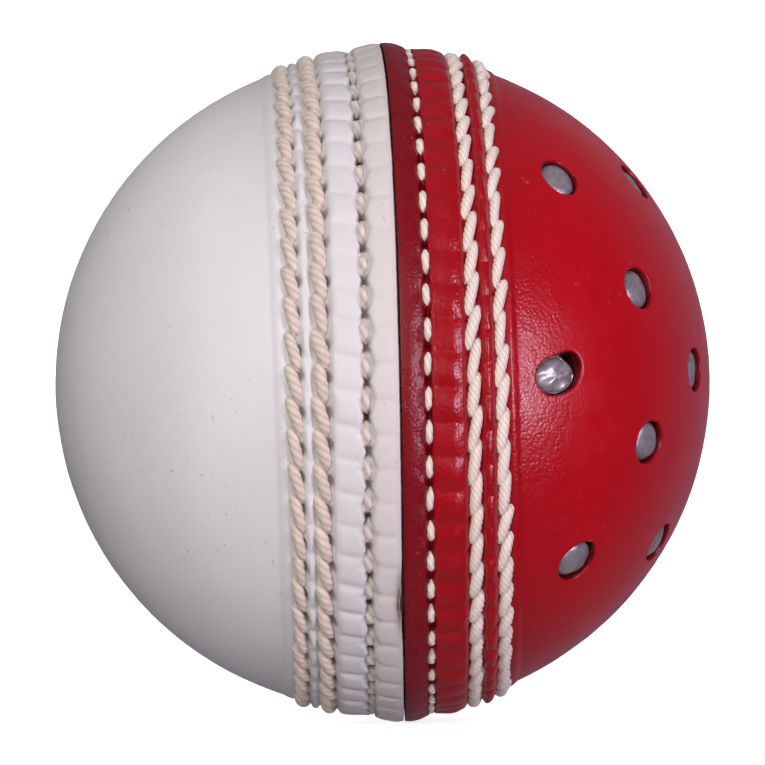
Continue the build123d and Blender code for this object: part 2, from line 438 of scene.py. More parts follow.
def soft_line(points):
    """Heights along the band: straight lines between the points, with rounded corners."""
    places, heights = np.array(points, float).T
    share = np.linspace(-2, 2, 9)
    weights = np.exp(-share**2)
    weights /= weights.sum()

    def height(offset):
        values = [np.interp(offset + step, places, heights) for step in share * CORNER_ROUNDING]
        return np.tensordot(weights, np.array(values), 1)

    return height


class Feature:
    """Something that happens once a stitch: a hole, a dent or a bulge."""

    def __init__(self, phase, place, half_turn, half_width, depth, seed, dirt_and_shade=0.0, lean=0.0):
        self.phase, self.place, self.depth, self.dirt_and_shade, self.lean = phase, place, depth, dirt_and_shade, lean
        self.half_turn, self.half_width = half_turn, half_width
        rng = np.random.default_rng(seed)
        self.slip = rng.normal(0, 0.06, STITCHES)
        self.strength = rng.uniform(0.7, 1.2, STITCHES)
        self.sideways = rng.normal(0, 0.06, STITCHES)

    def amount(self, count, offset):
        """How much of the feature there is, from 0 to 1."""
        nearest = np.round(count - self.phase)
        number = nearest.astype(int) % STITCHES
        away = count - self.phase - nearest - self.slip[number]
        across = offset - self.place - self.sideways[number] - self.lean * away
        shape = (away / self.half_turn) ** 2 + (across / self.half_width) ** 2
        return np.exp(-(shape**2.5)) * self.strength[number]


HOLE_SHARE = 0.17  # half of a stitch hole's length, as a share of the space between stitches


class Slot:
    """The slit that a row of thin stitches lies in: pinched at each hole, open at each stitch."""

    def __init__(self, phase, place, narrow, wide, hole, bed, dirt_and_shade, seed):
        self.phase, self.place, self.narrow, self.wide = phase, place, narrow, wide
        self.hole, self.bed, self.dirt_and_shade = hole, bed, dirt_and_shade
        rng = np.random.default_rng(seed)
        self.slip = rng.normal(0, 0.03, STITCHES)
        self.sideways = rng.normal(0, 0.05, STITCHES)
        self.strength = rng.uniform(0.8, 1.2, STITCHES)

    def carve(self, count, offset):
        """How deep the slit is here, and how dark its holes are: dirt and painted shade."""
        nearest = np.round(count - self.phase)
        number = nearest.astype(int) % STITCHES
        away = count - self.phase - nearest - self.slip[number]
        opened = np.abs(np.sin(math.pi * away)) ** 0.8
        half_width = self.narrow + (self.wide - self.narrow) * opened
        across = np.abs(offset - self.place - self.sideways[number]) / half_width
        at_hole = np.exp(-((away / HOLE_SHARE) ** 4)) * self.strength[number]
        inside = np.exp(-(across**5))
        depth = self.bed + (self.hole - self.bed) * at_hole
        return depth * inside, self.dirt_and_shade * at_hole * inside


LEVEL = 0.62  # a bulge's middle height, taken off so that the band keeps its outline
PUCKER_START = 0.5  # mm in which a bulge comes up


class Pucker:
    """Leather pulled into a bulge at every stitch, with a crease between bulges."""

    def __init__(self, phase, start, end, rise, seed, lean=0.0, power=2.2, growing=0.0, fall=0.4):
        self.phase, self.start, self.end, self.rise, self.fall = phase, start, end, rise, fall
        self.lean, self.power, self.growing = lean, power, growing
        rng = np.random.default_rng(seed)
        self.strength = rng.uniform(0.6, 1.35, STITCHES)
        self.slip = rng.normal(0, 0.05, STITCHES)

    def height(self, count, offset):
        middle = (self.start + self.end) / 2
        count = count - self.phase - self.lean * (offset - middle)
        nearest = np.round(count)
        number = nearest.astype(int) % STITCHES
        away = np.clip(np.abs(count - nearest + self.slip[number] * 0.5) * 2, 0, 1)
        bulge = (1 - away**self.power) * self.strength[number] - LEVEL
        way = np.clip((offset - self.start) / (self.end - self.start), 0, 1)
        grown = 1 - self.growing * (1 - way)
        coming = np.clip((offset - self.start) / PUCKER_START, 0, 1)
        going = np.clip((self.end - offset) / self.fall, 0, 1)
        return self.rise * bulge * coming * going * grown


WHITE_CLOSING_SLIP = 0.42  # the white closing row was sewn a little far from the crack

# Each outline gives how far the leather is from the crack, then from the seam's axis.
# A row's phase is where its stitches are, as a share of the space between two stitches.
ROW_NAMES = ("closing", "middle", "outer")
CLOSING, MIDDLE, OUTER = [row_place(f"stitches_white_{row}") for row in ROW_NAMES]
CLOSING += WHITE_CLOSING_SLIP
WHITE_OUTLINE = [
    (0.0, 36.33), (0.6, 36.36), (1.2, 36.28),
    (CLOSING - 0.9, 35.98), (CLOSING - 0.45, 35.78), (CLOSING, 35.60),
    (CLOSING + 0.45, 35.60), (CLOSING + 0.9, 35.56), (CLOSING + 2.0, 35.50),
    (MIDDLE - 1.7, 35.42), (MIDDLE - 1.15, 35.24),
    (MIDDLE - 0.85, 34.6), (MIDDLE, 34.0), (MIDDLE + 0.8, 34.1), (MIDDLE + 1.15, 34.5),
    (OUTER - 1.0, 34.45), (OUTER - 0.75, 34.0), (OUTER, 33.25), (OUTER + 0.7, 33.35),
    (OUTER + 1.1, 33.52), (OUTER + 1.7, 33.28),
]
WHITE_SLOT = Slot(0.02, CLOSING, narrow=0.2, wide=0.68, hole=1.1, bed=0.55, dirt_and_shade=1.0, seed=1)
WHITE_FEATURES = [
    # pits beside the thick rows, coloured dark: dirt and painted shade in the pit
    Feature(0.20, MIDDLE - 0.70, 0.20, 0.40, 0.45, seed=2, dirt_and_shade=0.65, lean=0.3),
    Feature(0.20, OUTER - 0.66, 0.20, 0.34, 0.4, seed=3, dirt_and_shade=0.65, lean=0.3),
    Feature(0.52, CLOSING - 0.75, 0.10, 0.40, 0.10, seed=5),
    Feature(0.48, CLOSING + 0.75, 0.10, 0.40, 0.08, seed=6),
]
WHITE_PUCKERS = [
    Pucker(0.30, CLOSING + 0.4, MIDDLE - 0.95, 0.26, seed=11, lean=0.06, power=3.5, fall=0.9),
    Pucker(0.28, MIDDLE + 0.9, OUTER - 0.7, 0.30, seed=12),
    Pucker(0.02, 0.3, CLOSING - 0.2, 0.15, seed=13, power=4.0),
]

CLOSING, MIDDLE, OUTER = [row_place(f"stitches_red_{row}") for row in ROW_NAMES]
RED_OUTLINE = [
    (0.0, 36.34), (0.6, 36.42), (1.1, 36.37), (1.7, 36.20),
    (CLOSING - 0.7, 35.98), (CLOSING - 0.35, 35.85), (CLOSING, 35.72), (CLOSING + 0.4, 35.66),
    (CLOSING + 1.0, 35.60), (CLOSING + 1.8, 35.60), (MIDDLE - 2.0, 35.50), (MIDDLE - 1.0, 35.12),
    (MIDDLE - 0.75, 34.6), (MIDDLE, 33.95), (MIDDLE + 0.75, 34.15), (MIDDLE + 1.05, 34.72),
    ((MIDDLE + OUTER) / 2, 34.78), (OUTER - 0.95, 34.5), (OUTER - 0.65, 33.9), (OUTER, 32.95),
    (OUTER + 0.65, 33.05), (OUTER + 0.95, 33.12), (OUTER + 1.4, 32.92),
]
RED_SLOT = Slot(0.0, CLOSING, narrow=0.22, wide=0.50, hole=0.8, bed=0.5, dirt_and_shade=0.6, seed=21)
RED_FEATURES = [
    # holes beside the middle and outer rows, coloured dark: dirt and painted shade in the hole
    Feature(-0.16, MIDDLE - 0.72, 0.10, 0.20, 0.4, seed=22, dirt_and_shade=0.35),
    Feature(-0.30, OUTER - 0.68, 0.10, 0.20, 0.4, seed=23, dirt_and_shade=0.3),
    Feature(0.50, CLOSING - 0.65, 0.24, 0.30, 0.12, seed=26),
]
RED_PUCKERS = [
    Pucker(0.28, CLOSING + 0.3, MIDDLE - 0.7, 0.52, seed=31, growing=0.7, fall=1.8, lean=-0.02),
    Pucker(-0.04, MIDDLE + 0.9, OUTER - 0.6, 0.42, seed=32, fall=0.8),
    Pucker(0.0, 1.1, CLOSING - 0.2, 0.09, seed=33),
]

COLUMNS = STITCHES * 15
CRACK_SHARE = 0.3  # how much of the crack is left where the lips press together
ROUND_EDGE = 0.13  # rounding of the leather's cut edge
TORN_PLACE = math.radians(360 - 39)  # where the white lip's edge is torn, round from -Y
WANDER = 0.33  # how far the seam strays from a flat circle
BAND_END = 13.4  # where the raised band has run out into the plain leather
BAND_STEP = 0.2
SLOT_STEP = 0.09  # between the rows of points beside a slot
SLOT_REACH = 0.72  # how far those rows go, either side of the slot
OUTER_SPACING = 1.3  # between the points of the plain leather, outside and inside
INNER_SPACING = 2.6
TORN_WIDTH = 0.11  # of the torn edge, as an angle
LINING_END = 12.6  # where the lining under the band has run out
INNER_GAP = 0.03  # between the leather and what it covers
LEATHER_WAVE = 0.012  # how deep the plain leather's slow waves are


def pole_frame(tilt, turn, side):
    """A point of the unit sphere, from its angles from the cup's pole and from -Y."""
    return np.stack(
        [side * np.cos(tilt), -np.sin(tilt) * np.cos(turn), np.sin(tilt) * np.sin(turn)], -1
    )


def flat_from(direction, side):
    """Stereographic map of the cup, in which a round hole stays round."""
    scale = 2 / (1 + side * direction[..., 0:1])
    return direction[..., 1:] * scale


def net_of_points(side, edge_tilt, spacing, holes, rings):
    """Points and triangles over a cup, from its pole out to edge_tilt."""
    turns = np.arange(COLUMNS) * 2 * math.pi / COLUMNS
    points = [pole_frame(np.full(COLUMNS, edge_tilt), turns, side)]
    loops = [np.arange(COLUMNS)]
    total = COLUMNS
    for _, outline in holes:
        for share in rings:
            points.append(outline(share))
        count = len(points[-1])
        loops.append(total + np.arange(count))
        total += count * len(rings)
    amount = int(4 * math.pi * SKIN_R**2 / spacing**2)
    i = np.arange(amount) + 0.5
    tilt = np.arccos(1 - 2 * i / amount)
    filling = pole_frame(tilt, i * math.pi * (1 + 5**0.5), side)
    keep = tilt < edge_tilt - 0.7 * spacing / SKIN_R
    for middle, _ in holes:
        apart = np.arccos(np.clip(filling @ middle, -1, 1)) * SKIN_R
        keep &= apart > HOLE_R * (rings[-1] + 0.1) + 0.6 * spacing
    points.append(filling[keep])
    points = np.concatenate(points)
    edges = [(int(a), int(b)) for loop in loops for a, b in zip(loop, np.roll(loop, -1))]
    flat = [Vector(p) for p in flat_from(points, side)]
    net = delaunay_2d_cdt(flat, edges, [], 0, 1e-7, True)
    if len(net[0]) != len(points):
        raise ValueError("two points of the leather net fell together")
    order = np.array([first[0] for first in net[3]])
    faces = [[int(order[i]) for i in face] for face in net[2]]
    middles = points[[face for face in faces]].mean(1)
    middles /= np.linalg.norm(middles, axis=1)[:, None]
    open_face = np.zeros(len(faces), bool)
    for number, (middle, _) in enumerate(holes):
        loop = set(loops[number + 1].tolist())
        apart = np.arccos(np.clip(middles @ middle, -1, 1)) * SKIN_R
        for face in np.nonzero(apart < HOLE_R * 1.6)[0]:
            if all(corner in loop for corner in faces[face]):
                open_face[face] = True
    faces = [face for face, is_open in zip(faces, open_face) if not is_open]
    return points, faces, loops


def build_mesh(name, points, faces, uv=None, attributes=None):
    """An object at the origin, from points in mm. uv is a pair of numbers for each point."""
    mesh = bpy.data.meshes.new(name)
    mesh.from_pydata((np.asarray(points) * MM).tolist(), [], faces)
    mesh.validate()
    mesh.shade_smooth()
    if uv is not None:
        corner = np.empty(len(mesh.loops), int)
        mesh.loops.foreach_get("vertex_index", corner)
        sizes = np.empty(len(mesh.polygons), int)
        mesh.polygons.foreach_get("loop_total", sizes)
        face_of = np.repeat(np.arange(len(sizes)), sizes)
        pairs = uv[corner]
        top = np.full(len(sizes), -np.inf)
        np.maximum.at(top, face_of, pairs[:, 0])
        wraps = top[face_of] - pairs[:, 0] > STITCHES / 2
        pairs[wraps, 0] += STITCHES
        layer = mesh.uv_layers.new(name="seam")
        layer.data.foreach_set("uv", pairs.astype(np.float32).ravel())
    for key, values in (attributes or {}).items():
        layer = mesh.attributes.new(key, "FLOAT", "POINT")
        layer.data.foreach_set("value", np.asarray(values, np.float32))
    made = bpy.data.objects.new(name, mesh)
    bpy.context.scene.collection.objects.link(made)
    return made


def hole_outline(middle, seed, torn, wide, tall):
    """A punched hole that isn't quite round. A share of 1 is its edge, and more is outside."""
    rng = np.random.default_rng(seed)
    turn = np.arange(HOLE_POINTS) * 2 * math.pi / HOLE_POINTS
    edge = 1 + 0.03 * np.sin(2 * turn + rng.uniform(0, 6))
    edge += 0.015 * np.sin(3 * turn + rng.uniform(0, 6))
    edge += torn * np.exp((np.cos(turn - TORN_TURN) - 1) / TORN_SPREAD)
    edge += rng.normal(0, 0.005, HOLE_POINTS)
    edge /= np.hypot(np.cos(turn) / wide, np.sin(turn) / tall)
    side, up = across_hole(middle)

    def outline(share):
        lean = HOLE_R * (1 + (edge - 1) / share) * share / SKIN_R
        spoke = np.cos(turn)[:, None] * side + np.sin(turn)[:, None] * up
        return np.cos(lean)[:, None] * middle + np.sin(lean)[:, None] * spoke

    return outline


def across_hole(middle):
    """Two directions across a hole: towards the red cup's middle, and round the cup."""
    side = POLE - middle * (POLE @ middle)
    side /= np.linalg.norm(side)
    return side, np.cross(side, middle)


POLE = np.array([1.0, 0.0, 0.0])  # the red cup's middle
TORN_TURN = -0.75  # the side on which a hole is torn, from across_hole's first direction
TORN_SPREAD = 0.17  # how much of a hole's edge the tear takes in
TORN_HOLES = {"pellet_outer_1": 0.42, "pellet_outer_8": 0.12, "pellet_middle_4": 0.2}
SQUASHED = {"pellet_outer_1": (1.16, 0.88), "pellet_outer_8": (1.04, 0.95)}  # across, and round
HOLE_POINTS = 44
# rings of points round a hole: how far out, how far below the leather, and how dark, which is dirt
# and painted shade at the rim
RIM_RINGS = [1.0, 1.02, 1.04, 1.07, 1.12, 1.2, 1.32]
RIM_DROPS = [0.22, 0.09, 0.04, 0.015, 0.0, 0.0, 0.0]
RIM_DIRT_AND_SHADE = [0.8, 0.45, 0.2, 0.08, 0.0, 0.0, 0.0]


def bridge(first, second):
    """Quads between two closed rows of points, given by their numbers."""
    count = len(first)
    return [
        [int(first[i]), int(first[(i + 1) % count]), int(second[(i + 1) % count]), int(second[i])]
        for i in range(count)
    ]


def wandered(points):
    """Points near the seam, moved a little along the ball's axis: no seam is quite straight."""
    angle = np.arctan2(points[:, 2], -points[:, 1])
    near = np.clip((BAND_END - np.abs(points[:, 0] - CRACK_X)) / 6.5, 0, 1)
    moved = points.copy()
    moved[:, 0] += WANDER * np.sin(2 * angle) * near**2 * (3 - 2 * near)
    return moved


def leather_cup(name, side, outline, slot, features, puckers, hole_outlines, seed, tearing):
    """One leather cup: raised band, plain leather, punched holes, inner face."""
    beyond = np.arange(outline[-1][0] + 0.35, BAND_END + 0.6, 0.25)
    plain = [(s, math.sqrt(SKIN_R**2 - (CRACK_X + side * s) ** 2)) for s in beyond]
    height = soft_line(outline + plain)
    turn = np.arange(COLUMNS) * 2 * math.pi / COLUMNS
    count = turn * STITCHES / (2 * math.pi)

    points, uv, dirt_and_shade = [], [], []

    def add_row(offset, radius, soil_and_shade):
        x = CRACK_X + side * offset
        points.append(np.stack([x, -radius * np.cos(turn), radius * np.sin(turn)], -1))
        uv.append(np.stack([count, np.broadcast_to(offset, count.shape)], -1))
        dirt_and_shade.append(np.broadcast_to(soil_and_shade, count.shape))

    def relief(offset):
        radius, soil_and_shade = height(offset) * np.ones_like(count), np.zeros_like(count)
        for pucker in puckers:
            radius = radius + pucker.height(count, offset)
        for feature in features:
            amount = feature.amount(count, offset)
            radius = radius - feature.depth * amount
            soil_and_shade = np.maximum(soil_and_shade, feature.dirt_and_shade * np.clip(amount * 1.6 - 0.25, 0, 1))
        cut, cut_dirt_and_shade = slot.carve(count, offset)
        radius, soil_and_shade = radius - cut, np.maximum(soil_and_shade, cut_dirt_and_shade)
        fade = np.clip((BAND_END - offset) / 1.5, 0, 1)
        radius = radius + fade * wobble(turn + offset / 30, 0.05, seed + 2, (7, 13, 23, 40))
        return np.minimum(radius, RIDGE_R - 0.01), soil_and_shade

    # the crack's wall, its rounded edge, then the band. The wall is painted dark all over and the
    # rounded edge darkens towards the crack: painted shade in the crack
    rng = np.random.default_rng(seed)
    ragged = wobble(turn, 0.05, seed, (11, 19, 31, 62, 90)) + rng.uniform(-0.012, 0.012, COLUMNS)
    ragged = np.clip(ragged, -0.08, 0.12)
    torn = tearing * np.exp(-((turn - TORN_PLACE) / TORN_WIDTH) ** 2) * (turn > math.pi)
    tear = 0.10 + 0.12 * np.abs(np.sin(count * 3.1)) + rng.uniform(0, 0.08, COLUMNS)
    ragged = ragged + torn * tear
    edge = CRACK_SHARE * HALF_CRACK + ragged
    lip, _ = relief(edge + 0.2)
    under_lip = WINDING_R + LINING_RISE
    for share in (0.0, 0.35, 0.7, 0.88):
        wall = under_lip + (lip - ROUND_EDGE - 0.05 - under_lip) * share
        offset = HALF_CRACK + (edge - HALF_CRACK) * share
        add_row(offset, wall * np.ones_like(count), 1.0)
    # the rounded edge darker towards the crack: painted shade; the torn stretch is its own brown
    for bend in np.radians((10, 35, 60, 85)):
        offset = edge + ROUND_EDGE * (1 - math.cos(bend))
        soil_and_shade = 0.8 * np.maximum(math.cos(bend), torn)
        add_row(offset, lip - ROUND_EDGE * (1 - math.sin(bend)), soil_and_shade)
    first = CRACK_SHARE * HALF_CRACK + ROUND_EDGE + 0.16
    beside = slot.place + np.arange(-SLOT_REACH, SLOT_REACH + 0.01, SLOT_STEP)
    before = np.linspace(first, beside[0], int((beside[0] - first) / BAND_STEP) + 1)[:-1]
    after = np.linspace(beside[-1], BAND_END, int((BAND_END - beside[-1]) / BAND_STEP) + 1)[1:-1]
    for level in np.concatenate([before, beside, after]):
        offset = level + ragged * max(0.0, 1 - (level - first) / 0.8)
        radius, soil_and_shade = relief(offset)
        # a little darker just beside the rounded edge
        lip_edge_darkening = 0.12 * math.exp(-(level - first) / 0.2)
        torn_soil = torn * math.exp(-(level - first) / 0.3)
        add_row(offset, radius, np.maximum(soil_and_shade, np.maximum(lip_edge_darkening, torn_soil)))
    band_rows = len(points)
    faces = []
    for row in range(band_rows - 1):
        here = row * COLUMNS + np.arange(COLUMNS)
        faces += bridge(here, here + COLUMNS)

    def add_net(edge_tilt, spacing, rings, place_at):
        net, triangles, loops = net_of_points(side, edge_tilt, spacing, hole_outlines, rings)
        start = sum(len(part) for part in points)
        soil_and_shade, place = place_at(net, loops)
        points.append(place)
        offset = side * (place[:, 0] - CRACK_X)
        around = np.arctan2(place[:, 2], -place[:, 1]) % (2 * math.pi)
        uv.append(np.stack([around * STITCHES / (2 * math.pi), offset], -1))
        dirt_and_shade.append(soil_and_shade)
        return start, triangles, loops

    def outer_place(net, loops):
        radius = np.full(len(net), SKIN_R)
        soil_and_shade = np.zeros(len(net))
        for loop in loops[1:]:
            for ring, drop in enumerate(RIM_DROPS):
                numbers = loop + ring * HOLE_POINTS
                radius[numbers] -= drop
                soil_and_shade[numbers] = RIM_DIRT_AND_SHADE[ring]
        directions = np.random.default_rng(seed + 5).normal(0, 9, (5, 3))
        waves = sum(np.sin(net @ wave) for wave in directions)
        fade = np.clip((side * net[:, 0] * SKIN_R - side * CRACK_X - BAND_END) / 3, 0, 1)
        radius -= np.abs(waves) * LEATHER_WAVE * fade
        return soil_and_shade, net * radius[:, None]

    def inner_place(net, loops):
        offset = side * (net[:, 0] * WINDING_R - CRACK_X)
        rise = LINING_RISE * np.clip(1 - (offset / LINING_END) ** 2, 0, 1) + INNER_GAP
        # dark all over: painted shade on the underside, seen in the crack and on the holes' walls
        return np.ones(len(net)), net * (WINDING_R + rise)[:, None]

    end_x = CRACK_X + side * BAND_END
    outer, triangles, outer_loops = add_net(
        math.acos(side * end_x / SKIN_R), OUTER_SPACING, RIM_RINGS, outer_place
    )
    faces += bridge((band_rows - 1) * COLUMNS + np.arange(COLUMNS), outer + outer_loops[0])
    faces += [[outer + corner for corner in face] for face in triangles]
    start_x = CRACK_X + side * HALF_CRACK
    inner_tilt = math.acos(side * start_x / math.hypot(start_x, under_lip))
    inner, triangles, inner_loops = add_net(inner_tilt, INNER_SPACING, [1.0], inner_place)
    faces += bridge(inner + inner_loops[0], np.arange(COLUMNS))
    faces += [[inner + corner for corner in reversed(face)] for face in triangles]
    for upper, lower in zip(outer_loops[1:], inner_loops[1:]):
        faces += bridge(outer + upper, inner + lower)
    points = wandered(np.concatenate(points))
    cup = build_mesh(name, points, faces, np.concatenate(uv), {"dirt_and_shade": np.concatenate(dirt_and_shade)})
    outwards(cup)
    return cup


def outwards(piece):
    """Turn every face of a closed piece outwards."""
    shape = bmesh.new()
    shape.from_mesh(piece.data)
    bmesh.ops.recalc_face_normals(shape, faces=shape.faces)
    shape.to_mesh(piece.data)
    shape.free()


pellet_nodes = [name for name in sorted(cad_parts) if name.startswith("pellet")]


def tip_of(name):
    """The top of a pellet: the point of it that is furthest from the ball's centre."""
    points = [vertex.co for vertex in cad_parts[name].data.vertices]
    return np.array(max(points, key=lambda point: point.length)) / MM


pellet_middles = [tip_of(name) / np.linalg.norm(tip_of(name)) for name in pellet_nodes]
pellet_holes = [
    (middle, hole_outline(middle, 200 + i, TORN_HOLES.get(name, 0.0), *SQUASHED.get(name, (1, 1))))
    for i, (name, middle) in enumerate(zip(pellet_nodes, pellet_middles))
]

cups = {
    "cover_white": leather_cup(
        "white_leather", -1, WHITE_OUTLINE, WHITE_SLOT, WHITE_FEATURES, WHITE_PUCKERS, [], 100, 1.0
    ),
    "cover_red": leather_cup(
        "red_leather", 1, RED_OUTLINE, RED_SLOT, RED_FEATURES, RED_PUCKERS, pellet_holes, 200, 0.0
    ),
}
for (name, cup), skin in zip(cups.items(), (WHITE_LEATHER, RED_LEATHER)):
    cup.data.materials.append(skin)
    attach(cup, "root")
    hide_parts(name)


# ---------------------------------------------------------------------------- stitching


STITCH_POINTS = 24  # along one stitch
PLY_CORNERS = 3.0  # round a stitch, for each ply


def stitch_tree():
    """Geometry Nodes for one row: a twisted stitch, repeated round the ball."""
    tree = bpy.data.node_groups.new("row_of_stitches", "GeometryNodeTree")
    whole = ("Stitches", "Plies", "Seed")
    sizes = (
        "Row radius", "Row place", "Phase", "Thread", "Ply depth", "Twists", "Length",
        "Sideways", "Lift", "Start depth", "End depth", "Reach", "Taper", "Wander",
    )
    for name in whole:
        tree.interface.new_socket(name, in_out="INPUT", socket_type="NodeSocketInt")
    for name in sizes:
        tree.interface.new_socket(name, in_out="INPUT", socket_type="NodeSocketFloat")
    tree.interface.new_socket("Material", in_out="INPUT", socket_type="NodeSocketMaterial")
    tree.interface.new_socket("Geometry", in_out="OUTPUT", socket_type="NodeSocketGeometry")
    size = node(tree, "NodeGroupInput").outputs

    # the stitch's path, drawn upright on the -Y side: out of one hole and into the next
    half = node(tree, "ShaderNodeMath", {0: size["Length"], 1: 0.5}, operation="MULTIPLY")
    aside = node(tree, "ShaderNodeMath", {0: size["Sideways"], 1: 0.5}, operation="MULTIPLY")
    reach = node(tree, "ShaderNodeMath", {0: half, 1: size["Reach"]}, operation="MULTIPLY")
    other_side, outwards_lift, below, low_reach = [
        node(tree, "ShaderNodeMath", {0: length, 1: -1.0}, operation="MULTIPLY")
        for length in (aside, size["Lift"], half, reach)
    ]
    start, start_handle, end_handle, end = [
        node(tree, "ShaderNodeCombineXYZ", {0: x, 1: y, 2: z})
        for x, y, z in (
            (other_side, size["Start depth"], half),
            (other_side, outwards_lift, reach),
            (aside, outwards_lift, low_reach),
            (aside, size["End depth"], below),
        )
    ]
    path = node(tree, "GeometryNodeCurvePrimitiveBezierSegment", {
        "Resolution": 40,
        "Start": start,
        "Start Handle": start_handle,
        "End Handle": end_handle,
        "End": end,
    })
    path = node(tree, "GeometryNodeResampleCurve", {0: path, "Count": STITCH_POINTS})
    way = node(tree, "GeometryNodeSplineParameter").outputs
    path = node(tree, "GeometryNodeStoreNamedAttribute", {
        "Geometry": path, "Name": "along", "Value": way["Length"],
    })
    tilt = node(tree, "ShaderNodeMath", {
        0: node(tree, "ShaderNodeMath", {0: size["Twists"], 1: 2 * math.pi}, operation="MULTIPLY"),
        1: way["Factor"],
    }, operation="MULTIPLY")
    path = node(tree, "GeometryNodeSetCurveTilt", {"Curve": path, "Tilt": tilt})

    # the thread's section: a ring of plies with a crease between each pair
    corners = node(tree, "ShaderNodeMath", {0: size["Plies"], 1: PLY_CORNERS}, operation="MULTIPLY")
    thick = node(tree, "ShaderNodeMath", {0: size["Thread"], 1: 0.5}, operation="MULTIPLY")
    section = node(tree, "GeometryNodeCurvePrimitiveCircle", {
        "Resolution": corners, "Radius": thick,
    })
    corner = node(tree, "GeometryNodeInputIndex")
    crease = node(tree, "ShaderNodeMath", {
        0: node(tree, "ShaderNodeMath", {0: corner, 1: PLY_CORNERS}, operation="MODULO"),
        1: 0.5,
    }, operation="LESS_THAN")
    place = node(tree, "GeometryNodeInputPosition")
    section = node(tree, "GeometryNodeStoreNamedAttribute", {
        "Geometry": section, "Name": "crease", "Value": crease,
    })
    section = node(tree, "GeometryNodeStoreNamedAttribute", {
        "Geometry": section, "Name": "ply_side", "Value": place,
    }, data_type="FLOAT_VECTOR")
    pinch = node(tree, "ShaderNodeMath", {
        0: 1.0,
        1: node(tree, "ShaderNodeMath", {0: crease, 1: size["Ply depth"]}, operation="MULTIPLY"),
    }, operation="SUBTRACT")
    pinched = node(tree, "ShaderNodeVectorMath", {0: place, "Scale": pinch}, operation="SCALE")
    section = node(tree, "GeometryNodeSetPosition", {0: section, "Position": pinched})
    away = node(tree, "ShaderNodeMath", {
        0: node(tree, "ShaderNodeMath", {
            0: way["Factor"], 1: 2.0, 2: -1.0,
        }, operation="MULTIPLY_ADD"),
    }, operation="ABSOLUTE")
    away = node(tree, "ShaderNodeMath", {0: away, 1: 3.0}, operation="POWER")
    slim = node(tree, "ShaderNodeMath", {
        0: 1.0, 1: node(tree, "ShaderNodeMath", {0: away, 1: size["Taper"]}, operation="MULTIPLY"),
    }, operation="SUBTRACT")
    stitch = node(tree, "GeometryNodeCurveToMesh", {
        "Curve": path, "Profile Curve": section, "Scale": slim, "Fill Caps": True,
    })

    # one stitch at each step round the ball, each set a little differently
    marks = node(tree, "GeometryNodePoints", {"Count": size["Stitches"]})
    number = node(tree, "GeometryNodeInputIndex")
    step = node(tree, "ShaderNodeMath", {0: -2 * math.pi, 1: size["Stitches"]}, operation="DIVIDE")
    turn = node(tree, "ShaderNodeMath", {
        0: node(tree, "ShaderNodeMath", {0: number, 1: size["Phase"]}, operation="ADD"), 1: step,
    }, operation="MULTIPLY")
    turn = node(tree, "FunctionNodeEulerToRotation", {
        0: node(tree, "ShaderNodeCombineXYZ", {0: turn, 1: 0.0, 2: 0.0}),
    })
    row = node(tree, "GeometryNodeInstanceOnPoints", {
        "Points": marks, "Instance": stitch, "Rotation": turn,
    })
    strayed, tipped, grown = [
        node(tree, "FunctionNodeRandomValue", {
            0: low,
            1: high,
            "Seed": node(tree, "ShaderNodeMath", {0: size["Seed"], 1: draw}, operation="ADD"),
        }, data_type="FLOAT_VECTOR")
        for draw, low, high in (
            (1, [-1, -0.6, -1.6], [1, 0.6, 1.6]),
            (2, [-0.06, -0.09, -0.06], [0.06, 0.09, 0.06]),
            (3, [0.94, 0.94, 0.96], [1.06, 1.04, 1.05]),
        )
    ]
    wander = node(tree, "ShaderNodeVectorMath", {
        0: strayed, "Scale": size["Wander"],
    }, operation="SCALE")
    seat = node(tree, "ShaderNodeCombineXYZ", {
        0: size["Row place"],
        1: node(tree, "ShaderNodeMath", {0: size["Row radius"], 1: -1.0}, operation="MULTIPLY"),
        2: 0.0,
    })
    seat = node(tree, "ShaderNodeVectorMath", {0: seat, 1: wander}, operation="ADD")
    row = node(tree, "GeometryNodeTranslateInstances", {0: row, "Translation": seat})
    askew = node(tree, "FunctionNodeEulerToRotation", {0: tipped})
    row = node(tree, "GeometryNodeRotateInstances", {0: row, "Rotation": askew})
    row = node(tree, "GeometryNodeScaleInstances", {0: row, "Scale": grown})
    tint = node(tree, "FunctionNodeRandomValue", {"Seed": size["Seed"]}, data_type="FLOAT")
    row = node(tree, "GeometryNodeStoreNamedAttribute", {
        "Geometry": row, "Name": "tint", "Value": tint.outputs[1],
    }, domain="INSTANCE")
    row = node(tree, "GeometryNodeRealizeInstances", {0: row})
    bent = node(tree, "ShaderNodeTexNoise", {"Scale": 0.45, "Detail": 1.0}).outputs["Color"]
    bent = node(tree, "ShaderNodeVectorMath", {0: bent, 1: [0.5, 0.5, 0.5]}, operation="SUBTRACT")
    bent = node(tree, "ShaderNodeVectorMath", {
        0: bent, "Scale": size["Wander"],
    }, operation="SCALE")
    row = node(tree, "GeometryNodeSetPosition", {0: row, "Offset": bent})
    row = node(tree, "GeometryNodeTransform", {0: row, "Scale": [MM] * 3})
    row = node(tree, "GeometryNodeSetMaterial", {0: row, "Material": size["Material"]})
    node(tree, "NodeGroupOutput", {0: row})
    return tree


